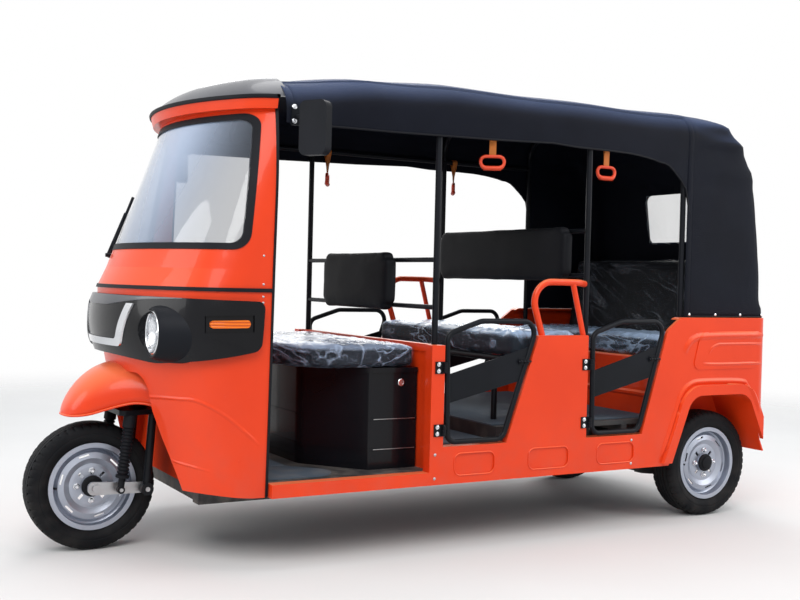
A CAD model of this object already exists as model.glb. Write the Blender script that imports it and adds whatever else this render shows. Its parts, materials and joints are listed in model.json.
"""Looks of an auto rickshaw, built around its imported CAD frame. Lengths are metres."""

import json
import logging
import math
from dataclasses import dataclass, field
from enum import Enum
from typing import Callable, Iterable, Optional, Sequence

import bmesh
import bpy
from mathutils import Matrix, Vector, noise
from mathutils.bvhtree import BVHTree

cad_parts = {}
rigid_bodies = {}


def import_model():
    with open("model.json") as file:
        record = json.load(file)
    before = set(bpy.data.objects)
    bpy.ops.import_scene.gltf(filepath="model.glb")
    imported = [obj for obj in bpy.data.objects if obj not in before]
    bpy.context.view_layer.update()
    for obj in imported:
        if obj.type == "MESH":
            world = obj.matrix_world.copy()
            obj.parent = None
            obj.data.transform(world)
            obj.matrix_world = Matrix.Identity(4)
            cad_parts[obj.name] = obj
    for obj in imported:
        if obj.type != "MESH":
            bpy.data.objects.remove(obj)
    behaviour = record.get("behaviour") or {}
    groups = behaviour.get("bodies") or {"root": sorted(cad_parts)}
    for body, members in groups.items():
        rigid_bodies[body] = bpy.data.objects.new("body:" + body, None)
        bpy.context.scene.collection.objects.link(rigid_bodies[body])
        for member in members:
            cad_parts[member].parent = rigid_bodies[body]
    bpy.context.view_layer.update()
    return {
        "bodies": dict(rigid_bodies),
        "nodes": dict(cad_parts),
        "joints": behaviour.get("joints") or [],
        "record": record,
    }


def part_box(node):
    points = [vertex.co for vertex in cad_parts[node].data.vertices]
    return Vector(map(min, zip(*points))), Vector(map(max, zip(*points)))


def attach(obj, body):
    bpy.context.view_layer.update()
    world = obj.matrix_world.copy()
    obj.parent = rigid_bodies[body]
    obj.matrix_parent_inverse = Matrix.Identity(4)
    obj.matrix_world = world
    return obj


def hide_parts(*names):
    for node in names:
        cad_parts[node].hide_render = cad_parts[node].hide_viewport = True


log = logging.getLogger("rickshaw")

Point = Sequence[float]
AXLE_X = 1.409
FAR_OUT = 900.0
TWO_SIDES = (1, -1)
AHEAD = Vector((1, 0, 0))
UP = Vector((0, 0, 1))


def at(station: float, y: float, z: float) -> Vector:
    """Point at millimetres behind the front axle, to the left and above the ground."""
    return Vector((AXLE_X - station / 1000, y / 1000, z / 1000))


def outward(side: int) -> Vector:
    """Direction away from the middle on a side."""
    return Vector((0, side, 0))


def turns(count: int) -> list:
    """Angles of that many even steps round a circle."""
    return [2 * math.pi * k / count for k in range(count)]


def clamp(value: float) -> float:
    """A value held between 0 and 1."""
    return max(0.0, min(1.0, value))


# Shaders

class Sock:
    """A shader socket. Arithmetic on it adds Math nodes."""

    def __init__(self, shader: "Shader", out: bpy.types.NodeSocket) -> None:
        """Wraps one output socket of a shader's node."""
        self.shader = shader
        self.out = out

    def math(self, kind: str, *others: object) -> "Sock":
        """The result of a Math node of that kind on this value and others."""
        return self.shader.take("ShaderNodeMath", 0, {"operation": kind}, dict(enumerate((self, *others))))

    def __add__(self, other: object) -> "Sock":
        """Sum."""
        return self.math("ADD", other)

    __radd__ = __add__

    def __sub__(self, other: object) -> "Sock":
        """Difference."""
        return self.math("SUBTRACT", other)

    def __rsub__(self, other: object) -> "Sock":
        """Difference with this value taken away."""
        return self.math("MULTIPLY", -1.0).math("ADD", other)

    def __mul__(self, other: object) -> "Sock":
        """Product."""
        return self.math("MULTIPLY", other)

    __rmul__ = __mul__

    def step(self, low: float, high: float) -> "Sock":
        """Smooth rise from 0 at low to 1 at high."""
        return self.shader.take("ShaderNodeMapRange", 0, {"interpolation_type": "SMOOTHSTEP"},
                                {0: self, 1: low, 2: high, 3: 0.0, 4: 1.0})


class Shader:
    """One material's node tree."""

    def __init__(self, name: str) -> None:
        """Starts an empty tree with its output node."""
        self.material = bpy.data.materials.new(name)
        self.material.use_nodes = True
        self.tree = self.material.node_tree
        self.tree.nodes.clear()
        self.output = self.tree.nodes.new("ShaderNodeOutputMaterial")
        self.place = self.take("ShaderNodeTexCoord", "Object")

    def node(self, kind: str, settings: Optional[dict] = None,
             sockets: Optional[dict] = None) -> bpy.types.Node:
        """Adds a node.

        Args:
            kind: the node's type.
            settings: its properties, set first.
            sockets: values or links by socket name or number.

        Returns:
            The node.
        """
        made = self.tree.nodes.new(kind)
        for key, value in (settings or {}).items():
            setattr(made, key, value)
        for key, value in (sockets or {}).items():
            if isinstance(value, Sock):
                self.tree.links.new(value.out, made.inputs[key])
            else:
                made.inputs[key].default_value = value
        return made

    def take(self, kind: str, out: object, settings: Optional[dict] = None,
             sockets: Optional[dict] = None) -> Sock:
        """Adds a node and wraps one of its outputs."""
        return Sock(self, self.node(kind, settings, sockets).outputs[out])

    def stretched(self, scale: Point, slant: float = 0.0) -> Sock:
        """Object coordinates turned about X by slant degrees, then scaled along each axis."""
        turned = self.take("ShaderNodeMapping", 0, {}, {0: self.place, 2: (math.radians(slant), 0.0, 0.0)})
        return self.take("ShaderNodeMapping", 0, {}, {0: turned, 3: tuple(scale)})

    def cloud(self, scale: float, detail: float = 3.0, where: Optional[Sock] = None,
              distortion: float = 0.0) -> Sock:
        """Noise from 0 to 1 at that scale."""
        return self.take("ShaderNodeTexNoise", 0, {}, {
            "Vector": where or self.place, "Scale": scale, "Detail": detail, "Distortion": distortion})

    def cells(self, scale: float) -> Sock:
        """Smooth cell distance at that scale."""
        return self.take("ShaderNodeTexVoronoi", "Distance", {"feature": "SMOOTH_F1"},
                         {"Vector": self.place, "Scale": scale})

    def waves(self, scale: float, axis: str) -> Sock:
        """Sine bands along an axis."""
        return self.take("ShaderNodeTexWave", 1, {"bands_direction": axis},
                         {"Vector": self.place, "Scale": scale, "Distortion": 0.0})

    def height(self) -> Sock:
        """Height above the ground."""
        return self.take("ShaderNodeSeparateXYZ", 2, {}, {0: self.place})

    def facing_up(self) -> Sock:
        """How far the surface faces up, from -1 to 1."""
        return self.take("ShaderNodeSeparateXYZ", 2, {}, {0: self.take("ShaderNodeNewGeometry", "Normal")})

    def blend(self, share: object, low: Point, high: Point) -> Sock:
        """Colour between two colours."""
        return self.take("ShaderNodeMix", 2, {"data_type": "RGBA"}, {
            0: share, 6: low if isinstance(low, Sock) else (*low, 1.0),
            7: high if isinstance(high, Sock) else (*high, 1.0)})

    def bump(self, height: Sock, distance: float) -> Sock:
        """Normal tilted by a height map."""
        return self.take("ShaderNodeBump", 0, {}, {"Height": height, "Distance": distance, "Strength": 1.0})

    def surface(self, sockets: dict) -> bpy.types.Material:
        """Finishes the material with a Principled surface and returns it."""
        body = self.node("ShaderNodeBsdfPrincipled", {}, sockets)
        self.tree.links.new(body.outputs[0], self.output.inputs[0])
        return self.material


class Grain(Enum):
    """Fine relief of a finish."""
    PEEL = "peel"
    LEATHER = "leather"
    WEAVE = "weave"
    MOULDED = "moulded"
    BRUSHED = "brushed"
    CAST = "cast"


@dataclass(frozen=True)
class Finish:
    """A solid finish: two near colours, a gloss with its variation, and a grain."""
    name: str
    color: tuple
    shade: tuple
    rough: float
    grain: Grain
    scale: float
    relief: float
    metallic: float = 0.0
    coat: float = 0.0
    rough_spread: float = 0.06
    dust: float = 0.0
    sheen: float = 0.0
    shine: float = 0.5
    sky: tuple = ()

    def relief_map(self, shader: Shader) -> Sock:
        """Height of the grain."""
        if self.grain is Grain.PEEL:
            return shader.cloud(self.scale, 1.0)
        if self.grain is Grain.LEATHER:
            return 1.0 - shader.cells(self.scale)
        if self.grain is Grain.WEAVE:
            warp, weft, side = (shader.waves(self.scale, axis) for axis in "XZY")
            return warp * weft + side
        if self.grain is Grain.BRUSHED:
            return shader.cloud(self.scale, 2.0, shader.stretched((0.05, 1.0, 1.0)))
        return shader.cloud(self.scale, 4.0)

    def build(self) -> bpy.types.Material:
        """Makes the material."""
        shader = Shader(self.name)
        broad = shader.cloud(3.5, 3.0)
        base = shader.blend(broad.step(0.3, 0.7), self.color, self.shade)
        rough = shader.cloud(9.0, 4.0) * (2 * self.rough_spread) + (self.rough - self.rough_spread)
        if self.sky:
            up = shader.facing_up().step(0.15, 0.95)
            base = shader.blend(up * (broad * 0.3 + 0.7), base, self.sky)
        if self.dust > 0:
            low = (1.0 - shader.height().step(0.12, 0.62)) * shader.cloud(14.0, 5.0).step(0.35, 0.75)
            dusty = low * self.dust
            base = shader.blend(dusty, base, (0.30, 0.26, 0.22))
            rough = rough + dusty * 0.4
        fixed = {"Metallic": self.metallic, "Coat Weight": self.coat, "Coat Roughness": 0.04,
                 "Sheen Weight": self.sheen, "Sheen Roughness": 0.4, "Specular IOR Level": self.shine}
        return shader.surface({"Base Color": base, "Roughness": rough, **fixed,
                               "Normal": shader.bump(self.relief_map(shader), self.relief)})


@dataclass(frozen=True)
class Clear:
    """A see-through finish, with faint dust and an optional pattern of ribs."""
    name: str
    color: tuple
    alpha: float
    rough: float
    ribs: float = 0.0

    def build(self) -> bpy.types.Material:
        """Makes the material."""
        shader = Shader(self.name)
        haze = shader.cloud(6.0, 4.0).step(0.3, 0.8)
        rough = haze * 0.05 + self.rough
        relief = shader.waves(self.ribs, "Y") if self.ribs else shader.cloud(4.0, 1.0)
        return shader.surface({
            "Base Color": (*self.color, 1.0), "Roughness": rough, "Alpha": haze * 0.05 + self.alpha,
            "Coat Weight": 1.0, "Coat Roughness": 0.02,
            "Normal": shader.bump(relief, 0.0015 if self.ribs else 0.0004)})


@dataclass(frozen=True)
class Film:
    """Loose clear plastic: pale where it faces up, with a few long wrinkles and small creases."""
    name: str
    color: tuple
    low: float
    sky: float
    crease: float
    scale: float
    way: tuple
    slant: float = 0.0

    def build(self) -> bpy.types.Material:
        """Makes the material."""
        shader = Shader(self.name)
        up = shader.facing_up().step(0.25, 0.95)
        where = shader.stretched(self.way, self.slant)
        bent = shader.cloud(self.scale, 2.0, where, 0.8)
        long = 1.0 - (bent - 0.5).math("ABSOLUTE").step(0.0, 0.035)
        small = shader.cloud(self.scale * 3.4, 2.0, where, 1.2)
        fine = 1.0 - (small - 0.5).math("ABSOLUTE").step(0.0, 0.03)
        where_creased = shader.cloud(self.scale * 0.6, 2.0).step(0.34, 0.60)
        lines = (long * 0.9 + fine * 0.55) * where_creased
        broad = shader.cloud(self.scale * 0.45, 2.0).step(0.35, 0.7)
        alpha = lines * self.crease + up * (broad * 0.45 + 0.55) * self.sky + self.low
        return shader.surface({
            "Base Color": (*self.color, 1.0), "Roughness": 0.16 + broad * 0.10,
            "Alpha": alpha.math("MINIMUM", 0.92), "Coat Weight": 0.35, "Coat Roughness": 0.08,
            "Specular IOR Level": 0.35, "Normal": shader.bump(bent * 0.7 + lines * 0.3, 0.010)})


@dataclass(frozen=True)
class Screen:
    """Windscreen glass: tinted, with long slanting streaks of sky."""
    name: str
    tint: tuple
    sky: tuple
    alpha: float
    streaks: float

    def build(self) -> bpy.types.Material:
        """Makes the material."""
        shader = Shader(self.name)
        split = shader.node("ShaderNodeSeparateXYZ", {}, {0: shader.place})
        x, y, z = (Sock(shader, split.outputs[i]) for i in range(3))
        across = y * 0.9 + z * 0.62 - x * 0.2
        line = shader.take("ShaderNodeCombineXYZ", 0, {}, {0: across * 7.0, 1: z * 0.7, 2: 0.3})
        band = shader.cloud(1.0, 3.0, line).step(0.48, 0.70)
        high = z.step(1.15, 1.75)
        middle = 1.0 - y.math("ABSOLUTE").step(0.14, 0.60)
        streak = (band * (high * 0.6 + 0.4)).math("MAXIMUM", middle * (high * 0.35 + 0.6))
        return shader.surface({
            "Base Color": shader.blend(streak, self.tint, self.sky), "Roughness": 0.05 + band * 0.03,
            "Alpha": streak * self.streaks + self.alpha, "Coat Weight": 1.0, "Coat Roughness": 0.02})


@dataclass(frozen=True)
class Lamp:
    """Coloured lens with a moulded pattern behind its gloss."""
    name: str
    color: tuple
    deep: tuple
    scale: float

    def build(self) -> bpy.types.Material:
        """Makes the material."""
        shader = Shader(self.name)
        ribs = shader.waves(self.scale, "Z")
        base = shader.blend(ribs, self.deep, self.color)
        return shader.surface({"Base Color": base, "Roughness": 0.12 + shader.cloud(30.0) * 0.05,
                               "Coat Weight": 0.3, "Coat Roughness": 0.03,
                               "Specular IOR Level": 0.2, "Normal": shader.bump(ribs, 0.001)})


FINISHES = (
    Finish("orange_paint", (0.80, 0.052, 0.007), (0.74, 0.045, 0.006), 0.34, Grain.PEEL, 900.0, 0.00006,
           coat=0.2, dust=0.08, shine=0.2, sky=(0.92, 0.20, 0.075)),
    Finish("well_paint", (0.62, 0.040, 0.006), (0.50, 0.030, 0.005), 0.70, Grain.PEEL, 900.0, 0.00006,
           shine=0.02),
    Finish("black_paint", (0.0085, 0.0095, 0.013), (0.006, 0.007, 0.009), 0.36, Grain.PEEL, 700.0, 0.0001,
           coat=0.04, dust=0.04, shine=0.10),
    Finish("chassis_black", (0.020, 0.020, 0.022), (0.012, 0.012, 0.013), 0.6, Grain.CAST, 220.0, 0.0004,
           dust=0.5),
    Finish("gloss_black", (0.006, 0.006, 0.008), (0.004, 0.004, 0.005), 0.22, Grain.PEEL, 500.0, 0.00008,
           coat=0.15, rough_spread=0.03, shine=0.12),
    Finish("matte_black", (0.0115, 0.0125, 0.016), (0.008, 0.009, 0.011), 0.46, Grain.MOULDED,
           900.0, 0.0002, dust=0.04, shine=0.08),
    Finish("grey_cap", (0.060, 0.062, 0.072), (0.045, 0.047, 0.056), 0.38, Grain.MOULDED, 600.0, 0.0001,
           coat=0.3),
    Finish("rubber", (0.007, 0.0075, 0.010), (0.010, 0.0105, 0.013), 0.50, Grain.MOULDED, 700.0, 0.0002,
           shine=0.10),
    Finish("mat_rubber", (0.055, 0.080, 0.108), (0.040, 0.060, 0.085), 0.62, Grain.MOULDED, 500.0, 0.0003,
           dust=0.35),
    Finish("tyre", (0.006, 0.0065, 0.008), (0.010, 0.0105, 0.012), 0.62, Grain.MOULDED, 420.0, 0.0004,
           dust=0.04, shine=0.10),
    Finish("silver_rim", (0.40, 0.43, 0.50), (0.34, 0.37, 0.44), 0.40, Grain.PEEL, 800.0, 0.0001,
           metallic=0.8, coat=0.2, dust=0.08),
    Finish("alloy", (0.50, 0.50, 0.51), (0.38, 0.38, 0.40), 0.34, Grain.BRUSHED, 500.0, 0.0002,
           metallic=1.0, dust=0.2),
    Finish("chrome", (0.74, 0.75, 0.77), (0.66, 0.67, 0.70), 0.14, Grain.PEEL, 300.0, 0.00005,
           metallic=1.0, rough_spread=0.04),
    Finish("vinyl", (0.006, 0.0065, 0.008), (0.009, 0.0095, 0.0115), 0.52, Grain.LEATHER, 420.0, 0.0004,
           rough_spread=0.07, shine=0.08),
    Finish("canopy_fabric", (0.0050, 0.0060, 0.0105), (0.0066, 0.0080, 0.0140), 0.50, Grain.WEAVE,
           520.0, 0.0002, rough_spread=0.05, shine=0.06, sky=(0.040, 0.060, 0.125)),
    Finish("strap", (0.74, 0.060, 0.010), (0.62, 0.045, 0.008), 0.45, Grain.MOULDED, 500.0, 0.0003),
    Finish("webbing", (0.66, 0.20, 0.025), (0.50, 0.13, 0.02), 0.7, Grain.WEAVE, 900.0, 0.0004),
    Finish("drum_iron", (0.10, 0.095, 0.09), (0.06, 0.055, 0.05), 0.6, Grain.CAST, 260.0, 0.0006,
           metallic=0.6, dust=0.5),
    Finish("white_plate", (0.62, 0.62, 0.60), (0.56, 0.56, 0.55), 0.4, Grain.PEEL, 500.0, 0.0001),
    Clear("glass", (0.55, 0.62, 0.64), 0.20, 0.04),
    Clear("clear_film", (0.60, 0.66, 0.68), 0.34, 0.12),
    Clear("lamp_glass", (0.80, 0.84, 0.88), 0.26, 0.06, 55.0),
    Clear("dial_glass", (0.5, 0.55, 0.6), 0.25, 0.04),
    Clear("lamp_lens", (0.72, 0.75, 0.78), 0.85, 0.10, 45.0),
    Finish("lamp_bowl", (0.80, 0.81, 0.83), (0.74, 0.75, 0.78), 0.10, Grain.PEEL, 90.0, 0.0002,
           metallic=1.0, rough_spread=0.03),
    Finish("mirror_glass", (0.72, 0.75, 0.78), (0.70, 0.73, 0.76), 0.03, Grain.PEEL, 40.0, 0.00001,
           metallic=1.0, rough_spread=0.01),
    Film("seat_film", (0.50, 0.60, 0.80), 0.03, 0.78, 0.46, 7.0, (1.0, 0.45, 1.3)),
    Film("shade_film", (0.56, 0.74, 1.0), 0.04, 0.90, 0.55, 7.0, (1.0, 0.45, 1.3)),
    Film("back_film", (0.26, 0.28, 0.32), 0.03, 0.10, 0.30, 5.0, (1.0, 0.35, 1.8), 28.0),
    Screen("screen_glass", (0.050, 0.060, 0.078), (0.50, 0.62, 0.82), 0.30, 0.50),
    Lamp("amber", (0.90, 0.19, 0.006), (0.52, 0.065, 0.003), 28.0),
    Lamp("red_lens", (0.55, 0.015, 0.012), (0.20, 0.006, 0.006), 40.0),
)


class Palette:
    """Every material, built once and found by name."""
    made: dict = {}

    @classmethod
    def build(cls) -> None:
        """Makes each finish's material."""
        for finish in FINISHES:
            cls.made[finish.name] = finish.build()

    @classmethod
    def coat(cls, thing: bpy.types.Object, name: str) -> None:
        """Puts one finish on the whole of an object."""
        thing.data.materials.clear()
        thing.data.materials.append(cls.made[name])


# Meshes

@dataclass
class Form:
    """Vertices and faces that grow into one piece."""
    points: list = field(default_factory=list)
    faces: list = field(default_factory=list)

    def add(self, points: Iterable, faces: Iterable) -> "Form":
        """Adds vertices and faces that number from those vertices."""
        base = len(self.points)
        self.points.extend(Vector(p) for p in points)
        self.faces.extend(tuple(base + i for i in face) for face in faces)
        return self

    def grid(self, rows: Sequence[Sequence[Point]], wrap_rows: bool = False,
             wrap_cols: bool = False) -> "Form":
        """Adds a surface through rows of points."""
        tall, wide = len(rows), len(rows[0])
        faces = []
        for i in range(tall if wrap_rows else tall - 1):
            for j in range(wide if wrap_cols else wide - 1):
                k, m = (i + 1) % tall, (j + 1) % wide
                faces.append((i * wide + j, i * wide + m, k * wide + m, k * wide + j))
        return self.add([p for row in rows for p in row], faces)

    def tube(self, path: Sequence[Point], radius: float, sides: int = 12, closed: bool = False,
             flat: float = 1.0) -> "Form":
        """Adds a round bar along a path.

        Args:
            path: points of its middle line.
            radius: half its thickness.
            sides: facets round it.
            closed: whether the path is a loop.
            flat: share of the thickness kept across the path's first sideways direction.
        """
        line = [Vector(p) for p in path]
        count = len(line)
        rows = []
        side = None
        for i, here in enumerate(line):
            before = line[i - 1] if i or closed else here
            after = line[(i + 1) % count] if i < count - 1 or closed else here
            along = (after - before).normalized()
            if side is None:
                side = along.orthogonal().normalized()
            side = (side - along * side.dot(along)).normalized()
            up = along.cross(side)
            rows.append([here + (side * math.cos(a) * flat + up * math.sin(a)) * radius
                         for a in turns(sides)])
        self.grid(rows, closed, True)
        if not closed:
            base = len(self.points) - count * sides
            self.faces.append(tuple(base + k for k in reversed(range(sides))))
            self.faces.append(tuple(base + (count - 1) * sides + k for k in range(sides)))
        return self

    def lathe(self, profile: Sequence[tuple], origin: Point, axis: Point, steps: int = 32,
              loop: bool = False) -> "Form":
        """Adds a turned shape.

        Args:
            profile: (distance along the axis, radius) points.
            origin: where the axis starts.
            axis: the axis's direction.
            steps: facets round it.
            loop: whether the profile closes on itself.
        """
        along = Vector(axis).normalized()
        side = along.orthogonal().normalized()
        up = along.cross(side)
        start = Vector(origin)
        rows = []
        for a in turns(steps):
            out = side * math.cos(a) + up * math.sin(a)
            rows.append([start + along * d + out * r for d, r in profile])
        return self.grid(rows, True, loop)

    def slab(self, outline: Sequence[Point], depth: Point) -> "Form":
        """Adds a flat plate from a closed outline and a depth vector."""
        near = [Vector(p) for p in outline]
        far = [p + Vector(depth) for p in near]
        count = len(near)
        faces = [tuple(reversed(range(count))), tuple(count + k for k in range(count))]
        faces += [(k, (k + 1) % count, count + (k + 1) % count, count + k) for k in range(count)]
        return self.add(near + far, faces)

    def build(self, name: str, finish: str, body: str = "body", slot: str = "", bevel: float = 0.0,
              smooth: bool = True, merge: float = 0.0) -> bpy.types.Object:
        """Makes the piece.

        Args:
            name: the piece's name.
            finish: name of its finish.
            body: CAD body that it rides on.
            slot: the record's material slot, where it isn't named like the finish.
            bevel: width of rounded edges.
            smooth: whether its faces shade smoothly.
            merge: distance within which vertices join.

        Returns:
            The object.
        """
        mesh = bpy.data.meshes.new(name)
        mesh.from_pydata([tuple(p) for p in self.points], [], self.faces)
        work = bmesh.new()
        work.from_mesh(mesh)
        if merge > 0:
            bmesh.ops.remove_doubles(work, verts=work.verts, dist=merge)
            bmesh.ops.dissolve_degenerate(work, edges=work.edges, dist=merge / 2)
        bmesh.ops.recalc_face_normals(work, faces=work.faces)
        work.to_mesh(mesh)
        work.free()
        piece = bpy.data.objects.new(name, mesh)
        bpy.context.scene.collection.objects.link(piece)
        if smooth:
            mesh.shade_smooth()
        if bevel > 0:
            edge = piece.modifiers.new("edge", "BEVEL")
            edge.width, edge.segments, edge.limit_method = bevel, 2, "ANGLE"
            edge.angle_limit = math.radians(40)
            edge.harden_normals = True
        if smooth:
            mesh.set_sharp_from_angle(angle=math.radians(42))
        return dress(piece, finish, body)


def dress(piece: bpy.types.Object, finish: str, body: str) -> bpy.types.Object:
    """Gives a piece its finish, body and slot, and reports it."""
    Palette.coat(piece, finish)
    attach(piece, body)
    log.info("%s: %d vertices on %s", piece.name, len(piece.data.vertices), body)
    return piece


def rounded(corners: Sequence[tuple], place: Callable, steps: int = 6) -> list:
    """Points of a closed outline with rounded corners.

    Args:
        corners: (a, b, radius) corners.
        place: turns (a, b) into a point.
        steps: points in each corner's arc.

    Returns:
        The points.
    """
    points = []
    for i, (a, b, radius) in enumerate(corners):
        here = Vector((a, b))
        before = (Vector(corners[i - 1][:2]) - here).normalized()
        after = (Vector(corners[(i + 1) % len(corners)][:2]) - here).normalized()
        if radius <= 0:
            points.append(place(a, b))
            continue
        half = 0.5 * before.angle(after)
        reach = radius / math.tan(half)
        start, end = here + before * reach, here + after * reach
        centre = here + (before + after).normalized() * (radius / math.sin(half))
        first, last = start - centre, end - centre
        turn = math.atan2(first.x * last.y - first.y * last.x, first.dot(last))
        for k in range(steps + 1):
            c, s = math.cos(turn * k / steps), math.sin(turn * k / steps)
            spot = centre + Vector((first.x * c - first.y * s, first.x * s + first.y * c))
            points.append(place(spot.x, spot.y))
    return points


def oblong(a0: float, a1: float, b0: float, b1: float, radius: float) -> list:
    """Corners of a rectangle, as rounded() takes them."""
    return [(a0, b0, radius), (a1, b0, radius), (a1, b1, radius), (a0, b1, radius)]


def smooth_path(points: Sequence[Point], steps: int = 8) -> list:
    """Catmull-Rom curve through points."""
    line = [Vector(p) for p in points]
    ends = [line[0] * 2 - line[1], *line, line[-1] * 2 - line[-2]]
    out = []
    for i in range(1, len(ends) - 2):
        a, b, c, d = ends[i - 1:i + 3]
        for k in range(steps):
            t = k / steps
            out.append(0.5 * ((2 * b) + (c - a) * t + (2 * a - 5 * b + 4 * c - d) * t * t
                              + (3 * b - a - 3 * c + d) * t * t * t))
    out.append(line[-1])
    return out


# The studio

@dataclass(frozen=True)
class Studio:
    """Floor, lights, world and the camera at the photo's angle."""
    eye: tuple = (2.4976, 4.2899, 1.0744)
    yaw: float = -119.94
    pitch: float = -1.035
    roll: float = 1.427
    focal: float = 1092.15
    frame_width: float = 800.0
    sensor: float = 36.0
    fade: tuple = (3.4, 8.0)

    def camera(self) -> None:
        """Makes the camera."""
        yaw, pitch, roll = (math.radians(v) for v in (self.yaw, self.pitch, self.roll))
        ahead = Vector((math.cos(yaw) * math.cos(pitch), math.sin(yaw) * math.cos(pitch), math.sin(pitch)))
        right = ahead.cross(Vector((0, 0, 1))).normalized()
        up = right.cross(ahead)
        turned_right = right * math.cos(roll) + up * math.sin(roll)
        turned_up = up * math.cos(roll) - right * math.sin(roll)
        data = bpy.data.cameras.new("camera")
        data.lens = self.focal / self.frame_width * self.sensor
        data.sensor_width = self.sensor
        data.clip_start, data.clip_end = 0.05, 200.0
        camera = bpy.data.objects.new("camera", data)
        camera.matrix_world = Matrix.Translation(self.eye) @ Matrix(
            (turned_right, turned_up, -ahead)).transposed().to_4x4()
        bpy.context.scene.collection.objects.link(camera)
        bpy.context.scene.camera = camera

    def lights(self) -> None:
        """Makes large soft lamps."""
        for name, place, size, watts in (
                ("key", (3.6, 4.6, 5.6), 5.0, 330.0), ("fill", (-4.5, 3.6, 3.4), 4.5, 130.0),
                ("top", (-0.6, -0.4, 6.2), 6.0, 230.0), ("back", (-3.0, -5.0, 4.0), 5.0, 160.0),
                ("nose", (6.4, -1.2, 2.6), 3.5, 110.0)):
            data = bpy.data.lights.new(name, "AREA")
            data.shape, data.size, data.energy = "DISK", size, watts
            lamp = bpy.data.objects.new(name, data)
            lamp.location = place
            lamp.rotation_euler = (Vector((0, 0, 0.8)) - Vector(place)).to_track_quat("-Z", "Y").to_euler()
            bpy.context.scene.collection.objects.link(lamp)

    def world(self) -> None:
        """Makes a pale world that shows as white behind the vehicle."""
        world = bpy.data.worlds.new("world")
        bpy.context.scene.world = world
        world.use_nodes = True
        tree = world.node_tree
        tree.nodes.clear()
        path = tree.nodes.new("ShaderNodeLightPath")
        plain, light, mix, out = (tree.nodes.new(kind) for kind in (
            "ShaderNodeBackground", "ShaderNodeBackground", "ShaderNodeMixShader", "ShaderNodeOutputWorld"))
        plain.inputs[0].default_value = (1.0, 1.0, 1.0, 1.0)
        light.inputs[0].default_value = (0.80, 0.88, 1.0, 1.0)
        light.inputs[1].default_value = 0.42
        seen = path.outputs["Is Camera Ray"]
        for kind in ("Is Glossy Ray", "Is Transmission Ray"):
            either = tree.nodes.new("ShaderNodeMath")
            either.operation = "MAXIMUM"
            tree.links.new(seen, either.inputs[0])
            tree.links.new(path.outputs[kind], either.inputs[1])
            seen = either.outputs[0]
        tree.links.new(seen, mix.inputs[0])
        tree.links.new(light.outputs[0], mix.inputs[1])
        tree.links.new(plain.outputs[0], mix.inputs[2])
        tree.links.new(mix.outputs[0], out.inputs[0])

    def floor(self) -> None:
        """Makes a large pale floor."""
        mesh = bpy.data.meshes.new("floor")
        half = 40.0
        mesh.from_pydata([(-half, -half, 0), (half, -half, 0), (half, half, 0), (-half, half, 0)], [],
                         [(0, 1, 2, 3)])
        floor = bpy.data.objects.new("floor", mesh)
        bpy.context.scene.collection.objects.link(floor)
        shader = Shader("floor")
        tone = shader.cloud(1.2, 4.0)
        shader.surface({
            "Base Color": shader.blend(tone, (0.70, 0.69, 0.67), (0.76, 0.75, 0.73)),
            "Roughness": 0.85, "Specular IOR Level": 0.2})
        far = shader.take("ShaderNodeVectorMath", "Value", {"operation": "LENGTH"}, {0: shader.place})
        concrete = shader.output.inputs[0].links[0].from_node
        clear = shader.node("ShaderNodeBsdfTransparent")
        mix = shader.node("ShaderNodeMixShader", {}, {0: far.step(*self.fade)})
        shader.tree.links.new(concrete.outputs[0], mix.inputs[1])
        shader.tree.links.new(clear.outputs[0], mix.inputs[2])
        shader.tree.links.new(mix.outputs[0], shader.output.inputs[0])
        mesh.materials.append(shader.material)

    def build(self) -> None:
        """Makes the whole studio."""
        self.camera()
        self.lights()
        self.world()
        self.floor()
        bpy.context.scene.view_settings.view_transform = "Standard"


# Sub-assemblies

@dataclass
class Bodywork:
    """Every CAD node that shows as it is, in the finish of its slot."""
    frame: dict
    finish_of: dict = field(default_factory=lambda: {
        "rear_axle": "drum_iron", "windscreen_glass": "screen_glass", "wheel_well": "well_paint"})

    def build(self) -> None:
        """Puts a finish on each node."""
        for row in self.frame["record"]["subparts"]:
            node, slot = row["node"], row["material_slot"]
            thing = self.frame["nodes"][node]
            Palette.coat(thing, self.finish_of.get(node, slot))
            log.info("%s: %s", node, slot)


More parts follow.
